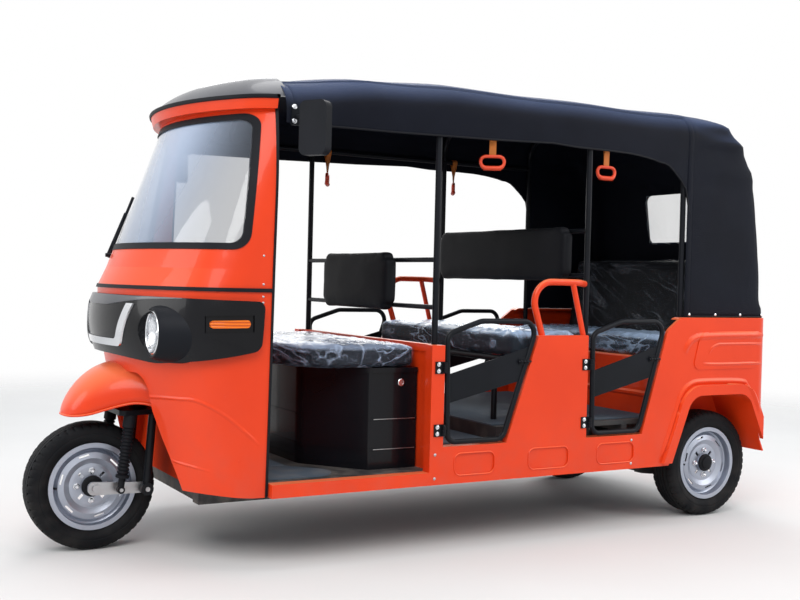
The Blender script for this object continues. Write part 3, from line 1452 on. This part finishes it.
@dataclass
class Cab:
    """Small trim of the cab: visor lip, fascia brow, edge rivets and canopy bolts."""
    frame: dict
    visor_top: float = 1739.0
    brow_z: float = 991.0
    edge_rivets: tuple = (1151.0, 1047.0, 1024.0, 1002.0, 980.0)
    # Outward and upward offsets of the visor lip's outline
    lip_section: tuple = ((-0.006, -0.002), (-0.006, 0.005), (0.0, 0.0065), (0.005, 0.005), (0.007, 0.0),
                          (0.005, -0.008), (0.001, -0.010))
    # Shares of the brow's depth outward and of its height downward, of its outline
    brow_section: tuple = ((-0.15, 0.0), (0.05, 0.0), (1.0, 1.0), (0.9, 1.12), (-0.3, 1.3))

    def level_line(self, skin: Skin, z: float, rear: float, count: int = 72) -> list:
        """Points round the nose at a height, from the left rear to the right, with their normals."""
        out = []
        for k in range(count):
            share = 2 * k / (count - 1) - 1
            angle = share * math.radians(100)
            core = at(rear, 0, z)
            way = Vector((math.cos(angle), -math.sin(angle), 0))
            spot, normal = skin.hit(core + way * 2.2, -way)
            if spot.x >= core.x - 0.004:
                out.append((spot, normal))
        return out

    def lip(self) -> None:
        """Black rubber lip along the top of the visor."""
        skin = Skin(self.frame, "cab_upper_shell")
        line = self.level_line(skin, self.visor_top - 4, 540.0)
        form = Form()
        rows = []
        for spot, normal in line:
            out = Vector((normal.x, normal.y, 0)).normalized()
            base = Vector((spot.x, spot.y, self.visor_top / 1000))
            rows.append([base + out * a + UP * b for a, b in self.lip_section])
        form.grid(rows, False, True)
        form.build("visor_lip", "rubber")

    def brow(self) -> None:
        """Sloping ledge along the top of the nose panel, which tapers off to the sides."""
        skin = Skin(self.frame, "front_fascia")
        line = self.level_line(skin, self.brow_z, 210.0, 96)
        rows = []
        for i, (spot, normal) in enumerate(line):
            share = min(1.0, min(i, len(line) - 1 - i) / (0.36 * len(line)))
            tall = 0.0005 + 0.0345 * share * share * (3 - 2 * share)
            out = Vector((normal.x, normal.y, 0)).normalized() * (0.4 * tall)
            top = Vector((spot.x, spot.y, self.brow_z / 1000 + 0.004 * share))
            rows.append([top + out * a - UP * (tall * b) for a, b in self.brow_section])
        Form().grid(rows).build("fascia_brow", "grey_cap", slot="matte_black")

    def edge(self) -> None:
        """Rivets beside the rubber strip at the cab's rear edge."""
        skin = Skin(self.frame, "cab_lower_shell", "cab_upper_shell")
        heads = Form()
        for side in TWO_SIDES:
            for z in self.edge_rivets:
                spot, normal = skin.from_side(463.0, side, z)
                rivet(heads, spot, normal, 0.0042)
        heads.build("cab_rivets", "alloy", merge=0.00001)

    def canopy_bolts(self) -> None:
        """Bolts through the front of the canopy on each side."""
        skin = Skin(self.frame, "canopy")
        heads = Form()
        for side in TWO_SIDES:
            for station, z in ((562.0, 1698.0), (562.0, 1647.0), (592.0, 1672.0)):
                spot, normal = skin.from_side(station, side, z)
                bolt(heads, spot + normal * 0.0075, normal, 0.0062)
        heads.build("canopy_bolts", "chrome", smooth=False)

    def build(self) -> None:
        """Makes the trim."""
        self.lip()
        self.brow()
        self.edge()
        self.canopy_bolts()


@dataclass
class Straps:
    """Webbing loops on the side rails with moulded handles."""
    places: tuple = ((1290.0, -1, 60.0), (1462.0, 1, -30.0), (2030.0, -1, 60.0), (2064.0, 1, 0.0))
    y: float = 591.0
    rail_z: float = 1700.0
    rail: float = 0.012
    width: float = 0.028
    drop: float = 0.112
    handle: tuple = (0.065, 0.062)

    def web(self, form: Form) -> None:
        """Adds a doubled band that loops over the rail, around the origin."""
        top = self.rail + 0.0016
        path = [Vector((0, -0.0012, -self.drop)), Vector((0, -0.0016, -0.07)), Vector((0, -0.0035, -0.035))]
        path += [Vector((0, -top * math.cos(a), top * math.sin(a))) for a in
                 (math.radians(d) for d in range(-20, 201, 20))]
        path += [Vector((0, 0.0035, -0.035)), Vector((0, 0.0016, -0.07)), Vector((0, 0.0012, -self.drop))]
        rows = []
        for i, here in enumerate(path):
            ahead = path[min(i + 1, len(path) - 1)] - path[max(i - 1, 0)]
            out = Vector((0, -ahead.z, ahead.y)).normalized() * 0.0008
            half = Vector((self.width / 2, 0, 0))
            rows.append([here - half + out, here - half * 0.86 + out * 1.5, here + half * 0.86 + out * 1.5,
                         here + half + out, here + half - out, here - half - out])
        form.grid(rows, False, True)
        for z in (-0.060, -0.064, -0.068):
            form.slab([(-0.010, -0.0034, z), (0.010, -0.0034, z), (0.010, -0.0034, z - 0.0012),
                       (-0.010, -0.0034, z - 0.0012)], (0, 0.0068, 0))

    def grip(self, form: Form) -> None:
        """Adds the handle: a thick rounded lower bar on a loop, around the strap's lower end."""
        half, tall = self.handle
        top, low = -self.drop + 0.002, -self.drop - tall + 0.016
        corners = [(-half, low, 0.026), (half, low, 0.026), (half * 0.62, top, 0.024),
                   (-half * 0.62, top, 0.024)]
        loop = rounded(corners, lambda a, b: Vector((a, 0, b)), 8)
        loop = [p for i, a in enumerate(loop) for p in
                (a, *((a.lerp(loop[(i + 1) % len(loop)], t) for t in (0.25, 0.5, 0.75))
                      if (loop[(i + 1) % len(loop)] - a).length > 0.02 else ()))]
        count = len(loop)
        rows = []
        for i, here in enumerate(loop):
            along = (loop[(i + 1) % count] - loop[i - 1]).normalized()
            side = Vector((along.z, 0, -along.x))
            grow = 1.0 + 0.35 * clamp((low + 0.014 - here.z) / 0.012)
            rows.append([here + (side * math.cos(a) * 0.0068 + Vector((0, math.sin(a) * 0.0075, 0))) * grow
                         for a in turns(14)])
        form.grid(rows, True, True)
        for k in range(-4, 5):
            form.lathe([(-0.0012, 0.0102), (0.0, 0.0108), (0.0012, 0.0102)], (k * 0.0085, 0, low),
                       (1, 0, 0), 14)

    def build(self) -> None:
        """Makes the four straps."""
        bands, grips = Form(), Form()
        for station, side, turn in self.places:
            place = at(station, side * self.y, self.rail_z)
            for form, fill in ((bands, self.web), (grips, self.grip)):
                one = Form()
                fill(one)
                for p in one.points:
                    share = clamp((-p.z - 0.02) / (self.drop - 0.04))
                    p.rotate(Matrix.Rotation(math.radians(turn) * share, 3, "Z"))
                form.add([place + p for p in one.points], one.faces)
        webbing = bands.build("strap_webbing", "webbing", slot="strap")
        grips.build("strap_handles", "strap")
        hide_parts("grab_straps")


@dataclass
class Mirrors:
    """Mirror glass with its rim on the rear of each housing."""
    station: float = 575.0
    y: float = 745.0
    z: float = 1612.0
    turn: float = 30.0
    size: tuple = (0.116, 0.196, 0.038)

    def build(self) -> None:
        """Makes both faces."""
        glass, rim = Form(), Form()
        wide, tall, thick = self.size
        for side in TWO_SIDES:
            turn = Matrix.Rotation(math.radians(self.turn * side), 3, "Z")
            back, across = turn @ Vector((-1, 0, 0)), turn @ Vector((0, 1, 0))
            middle = at(self.station, side * self.y, self.z) + back * (thick / 2)

            def place(a: float, b: float, lift: float = 0.0) -> Vector:
                """Point on the mirror's face."""
                return middle + across * a + Vector((0, 0, b)) + back * lift

            half, high = wide / 2 - 0.010, tall / 2 - 0.010
            corners = oblong(-half, half, -high, high, 0.022)
            glass.slab(rounded(corners, lambda a, b: place(a, b, -0.001), 8), back * 0.0022)
            loop = rounded(corners, lambda a, b: place(a, b, 0.001), 8)
            rim.tube(loop, 0.003, 8, True)
        glass.build("mirror_faces", "mirror_glass", slot="chrome")
        rim.build("mirror_rims", "rubber")


@dataclass
class Hinges:
    """Bolts of the hinge plates, pin heads and the sill rivets."""
    hinges: tuple = (1217.0, 1955.0)
    heights: tuple = (486.0, 734.0)
    plate_y: float = 654.0
    sill_rivets: tuple = ((1184.0, 390.0), (1184.0, 296.0), (2200.0, 397.0), (2200.0, 294.0))

    def build(self) -> None:
        """Makes the fasteners."""
        heads, spots = Form(), Form()
        for side in TWO_SIDES:
            out = outward(side)
            for station in self.hinges:
                for z in self.heights:
                    for rise in (13.0, -13.0):
                        bolt(heads, at(station - 27.0, side * self.plate_y, z + rise), out, 0.0058)
            for station, z in self.sill_rivets:
                rivet(spots, at(station, side * 650.2, z), out, 0.006)
        heads.build("hinge_bolts", "chrome", smooth=False)
        spots.build("sill_rivets", "alloy", merge=0.00001)


@dataclass
class Doors:
    """Slide latches that ride on each door."""
    latches: tuple = (("front", 1608.0), ("rear", 2322.0))
    y: float = 640.0
    z: float = 752.0

    def build(self) -> None:
        """Makes a slide latch for each door."""
        for name, station in self.latches:
            for side, label in ((1, "left"), (-1, "right")):
                form, heads = Form(), Form()
                out = outward(side)
                base = at(station, side * (self.y + 2.0), self.z)
                bolt_line = base + out * 0.0075
                plate = rounded(oblong(-0.026, 0.026, -0.014, 0.014, 0.004),
                                lambda a, b: base + Vector((a, 0, b)), 4)
                form.slab(plate, out * 0.003)
                form.tube([bolt_line - AHEAD * 0.034, bolt_line + AHEAD * 0.030], 0.0042, 12)
                form.tube([bolt_line + AHEAD * 0.004, base + Vector((0.004, side * 0.016, 0.002))],
                          0.0034, 10)
                for a in (-0.014, 0.016):
                    form.tube([bolt_line + AHEAD * (a - 0.004), bolt_line + AHEAD * (a + 0.004)], 0.0066, 14)
                for a, b in ((-0.021, 0.009), (0.021, 0.009), (-0.021, -0.009), (0.021, -0.009)):
                    rivet(heads, base + Vector((a, side * 0.003, b)), out, 0.0026)
                body = f"{name}_{label}_door"
                form.build(f"latch_{name}_{label}", "black_paint", body)
                heads.build(f"latch_rivets_{name}_{label}", "black_paint", body)


@dataclass
class Mats:
    """Ribs on the floor mats."""
    fields: tuple = ((430.0, 690.0, 300.0, 325.0), (1236.0, 1498.0, 575.0, 425.0),
                     (1518.0, 2398.0, 550.0, 485.0))
    pitch: float = 13.0
    rib: tuple = (0.0045, 0.0014)

    def build(self) -> None:
        """Makes the rows of ribs."""
        form = Form()
        wide, rise = self.rib
        for s0, s1, half, z in self.fields:
            count = int(2 * half / self.pitch)
            for k in range(count + 1):
                y = -half + 2 * half * k / count
                a, b = at(s0, y, z - 0.2), at(s1, y, z - 0.2)
                side, up = Vector((0, wide / 2, 0)), Vector((0, 0, rise))
                form.grid([[a - side, a - side * 0.6 + up, a + side * 0.6 + up, a + side],
                           [b - side, b - side * 0.6 + up, b + side * 0.6 + up, b + side]])
        form.build("mat_ribs", "mat_rubber")


@dataclass
class SeatBox:
    """Bright beads on the seat box and a bezel round each lock."""
    frame: dict
    heights: tuple = (400.0, 520.0)
    lock: tuple = (1105.4, 506.0, 665.0)

    def build(self) -> None:
        """Makes the beads and lock faces."""
        skin = Skin(self.frame, "driver_seat_box")
        beads, locks = Form(), Form()
        for z in self.heights:
            for side in TWO_SIDES:
                line = []
                for station in range(985, 1176, 10):
                    spot, normal = skin.hit(at(station, side * 800.0, z), (0, -side, 0))
                    line.append(spot + normal * 0.0003)
                beads.tube(line, 0.0016, 6)
        for side in TWO_SIDES:
            station, y, z = self.lock
            out = outward(side)
            spot = at(station, side * y, z)
            locks.lathe([(-0.001, 0.015), (0.002, 0.015), (0.0035, 0.0135), (0.0035, 0.0095),
                         (0.0022, 0.009), (0.0022, 0.0)], spot, out, 32)
            locks.slab([spot + Vector((a, side * 0.0021, b)) for a, b in
                        ((-0.001, -0.006), (0.001, -0.006), (0.001, 0.006), (-0.001, 0.006))], out * 0.0006)
        beads.build("seat_box_beads", "alloy")
        locks.build("seat_box_locks", "chrome")


@dataclass
class Steering:
    """Bellows on the front dampers, and grips, levers and switches on the handlebar."""
    foot: tuple = (85.0, 136.0, 243.0)
    head: tuple = (122.0, 136.0, 570.0)
    crown_z: float = 530.0
    pleats: int = 13
    bar: tuple = (365.1, 0.0, 1030.0)
    grip: float = 0.116
    grip_ridges: int = 20

    def shocks(self) -> None:
        """Makes both dampers."""
        form, eyes = Form(), Form()
        for side in TWO_SIDES:
            foot = at(self.foot[0], side * self.foot[1], self.foot[2])
            head = at(self.head[0], side * self.head[1], self.head[2])
            along = (head - foot).normalized()
            low, high = 0.046, (self.crown_z / 1000 - foot.z) / along.z
            profile = [(0.0, 0.0), (0.0, 0.0128), (low, 0.0128), (low, 0.0255), (low + 0.010, 0.0262),
                       (low + 0.012, 0.0215)]
            start, end = low + 0.014, high - 0.052
            pitch = (end - start) / self.pleats
            for k in range(self.pleats):
                d = start + pitch * k
                profile += [(d, 0.0178), (d + pitch * 0.35, 0.0222), (d + pitch * 0.5, 0.0236),
                            (d + pitch * 0.65, 0.0222)]
            profile += [(end, 0.0178), (end + 0.004, 0.0245), (high, 0.0245), (high, 0.0)]
            form.lathe(profile, foot, along, 40)
            eyes.lathe([(-0.011, 0.0072), (-0.011, 0.0150), (0.011, 0.0150), (0.011, 0.0072)], foot,
                       (0, 1, 0), 28, True)
        bellows = form.build("shock_bellows", "rubber", "steering", "black_paint", merge=0.00002)
        eyes.build("shock_eyes", "black_paint", "steering")
        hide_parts("front_shocks")

    def controls(self) -> None:
        """Makes the grips' ridges, the levers and the switch housings."""
        grips, metal, boxes = Form(), Form(), Form()
        centre = at(*self.bar)
        for side in TWO_SIDES:
            inner = centre + Vector((-0.028, side * 0.200, 0.052))
            outer = centre + Vector((-0.096, side * 0.345, 0.044))
            along = (outer - inner).normalized()
            start = outer - along * self.grip
            profile = []
            for k in range(self.grip_ridges):
                d = self.grip * k / self.grip_ridges
                profile += [(d, 0.0172), (d + 0.0018, 0.0181), (d + 0.0036, 0.0181), (d + 0.0050, 0.0172)]
            profile += [(self.grip, 0.0195), (0.122, 0.0195), (0.1245, 0.016), (0.1245, 0.0)]
            grips.lathe(profile, start, along, 28)
            boxes.lathe([(-0.050, 0.012), (-0.050, 0.0225), (-0.046, 0.0245), (-0.010, 0.0245),
                         (-0.006, 0.0225), (-0.006, 0.012)], start, along, 24)
            front = AHEAD - along * along.x
            root = start - along * 0.020 + front.normalized() * 0.024
            tip = outer + front.normalized() * 0.052
            metal.tube(smooth_path([root, root + front * 0.022 + along * 0.016,
                                    root.lerp(tip, 0.55) + front * 0.010, tip], 6), 0.0048, 10, False, 0.55)
            metal.lathe([(-0.006, 0.0), (-0.006, 0.008), (0.006, 0.008), (0.006, 0.0)], root, (0, 0, 1), 16)
            boxes.tube([start - along * 0.028 + Vector((0, 0, 0.022)),
                        start - along * 0.028 + Vector((-0.004, 0, 0.030))], 0.0055, 12)
        grips.build("handlebar_grips", "rubber", "steering", merge=0.00002)
        boxes.build("handlebar_switches", "matte_black", "steering")
        metal.build("handlebar_levers", "alloy", "steering")

    def build(self) -> None:
        """Makes the steering pieces."""
        self.shocks()
        self.controls()


@dataclass
class Gauge:
    """Round gauge and switches on the dashboard's sloping face."""
    middle: tuple = (215.0, 0.0, 1050.0)
    radius: float = 0.031
    first_mark: float = -120.0

    def build(self) -> None:
        """Makes the gauge."""
        ring, face, marks, glass, knobs = Form(), Form(), Form(), Form(), Form()
        out = Vector((-0.77, 0, 0.64)).normalized()
        up = Vector((0.64, 0, 0.77)).normalized()
        side = outward(1)
        spot = at(*self.middle)

        def hand(degrees: float) -> tuple:
            """Directions along and across a hand at an angle."""
            c, s = math.cos(math.radians(degrees)), math.sin(math.radians(degrees))
            return up * c + side * s, side * c - up * s

        ring.lathe([(0.0, self.radius), (0.0, self.radius + 0.005), (0.005, self.radius + 0.005),
                    (0.0065, self.radius + 0.003), (0.0045, self.radius)], spot, out, 48, True)
        face.lathe([(0.0012, self.radius), (0.0012, 0.0)], spot, out, 48)
        for k in range(17):
            ray, cross = hand(self.first_mark + 15 * k)
            long = 0.006 if k % 4 == 0 else 0.0035
            low = spot + ray * (self.radius - 0.003 - long) + out * 0.0012
            marks.slab([low - cross * 0.0004, low + cross * 0.0004, low + cross * 0.0004 + ray * long,
                        low - cross * 0.0004 + ray * long], out * 0.0004)
        ray, cross = hand(self.first_mark)
        base = spot + out * 0.0022
        tail = base - ray * 0.004
        marks.slab([tail - cross * 0.001, tail + cross * 0.001, base + ray * 0.024], out * 0.0005)
        glass.lathe([(0.0045, self.radius), (0.0052, self.radius * 0.6), (0.0055, 0.0)], spot, out, 40)
        for y in (-95.0, -70.0, 70.0, 95.0):
            knobs.lathe([(-0.001, 0.008), (0.003, 0.008), (0.0035, 0.0065), (0.009, 0.006), (0.0105, 0.004),
                         (0.0105, 0.0)], spot + side * y / 1000, out, 24)
        ring.build("gauge_ring", "chrome")
        face.build("gauge_face", "matte_black")
        marks.build("gauge_marks", "white_plate", slot="alloy")
        glass.build("gauge_glass", "dial_glass", slot="glass")
        knobs.build("dash_knobs", "rubber")


@dataclass
class RearEnd:
    """Tail lamps with their lenses, and the bare plate with its bolts."""
    lamp_y: float = 520.0
    back: float = 3050.3
    plate_z: float = 500.0

    def build(self) -> None:
        """Makes the lamps and the plate."""
        housing, red, amber, clear, plate, heads = Form(), Form(), Form(), Form(), Form(), Form()
        rear = -AHEAD

        def block(form: Form, low: tuple, high: tuple, corner: float, start: float, thick: float) -> None:
            """Adds a rounded plate between two (y, z) corners, on both sides."""
            for side in TWO_SIDES:
                line = rounded(oblong(low[0], high[0], low[1], high[1], corner),
                               lambda a, b: at(start, side * a, b), 6)
                form.slab(line, rear * thick)

        y = self.lamp_y
        block(housing, (y - 55, 600), (y + 55, 735), 18.0, self.back, 0.007)
        for form, low, high in ((red, 672.0, 729.0), (amber, 636.0, 670.0), (clear, 606.0, 634.0)):
            block(form, (y - 49, low), (y + 49, high), 8.0, self.back + 6.5, 0.0075)
        corners = oblong(-110, 110, self.plate_z - 65, self.plate_z + 65, 8.0)
        plate.slab(rounded(corners, lambda a, b: at(self.back, a, b), 6), rear * 0.0016)
        rim = rounded([(a * 0.965, self.plate_z + (b - self.plate_z) * 0.94, 6.0) for a, b, _ in corners],
                      lambda a, b: at(self.back + 1.8, a, b), 6)
        plate.tube(rim, 0.0016, 8, True)
        for a in (75.0, -75.0):
            bolt(heads, at(self.back + 1.8, a, self.plate_z), rear, 0.0055)
        shell = housing.build("tail_lamp_shells", "matte_black", bevel=0.0012)
        red.build("tail_lenses_red", "red_lens", bevel=0.002)
        amber.build("tail_lenses_amber", "amber", bevel=0.002)
        clear.build("tail_lenses_clear", "lamp_lens", slot="lamp_glass", bevel=0.002)
        plate.build("bare_plate", "white_plate", slot="alloy")
        heads.build("plate_bolts", "chrome", smooth=False)
        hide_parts("tail_lamps")


def main() -> None:
    """Builds the vehicle's looks in order."""
    logging.basicConfig(level=logging.INFO, format="%(asctime)s %(name)s %(message)s")
    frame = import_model()
    Studio().build()
    Palette.build()
    Bodywork(frame).build()
    Canopy(frame).build()
    for name, body, centre, outward in (
            ("front", "front_wheel", (1409.0, 0.0, 247.0), 1),
            ("rear_left", "rear_left_wheel", (-1348.0, 502.5, 247.0), 1),
            ("rear_right", "rear_right_wheel", (-1348.0, -502.5, 247.0), -1)):
        Wheel(name, body, tuple(v / 1000 for v in centre), outward).build()
    for part in (
            Pad(frame, "driver_cushion", Cover.SEAT_FILM, UP, press=0.80),
            Pad(frame, "middle_cushion", Cover.SHADE_FILM, UP),
            Pad(frame, "rear_cushion", Cover.SHADE_FILM, UP),
            Pad(frame, "driver_backrest", Cover.BARE, AHEAD, corner=0.058, cap=0.004),
            Pad(frame, "middle_backrest", Cover.BARE, AHEAD, corner=0.050, cap=0.004),
            Pad(frame, "rear_backrest", Cover.BACK_FILM, AHEAD),
            Headlamps(), Fender(), Swages(frame), Cab(frame), Straps(), Mirrors(), Hinges(), Doors(), Mats(),
            SeatBox(frame), Steering(), Gauge(), RearEnd()):
        part.build()


if __name__ == "__main__":
    main()
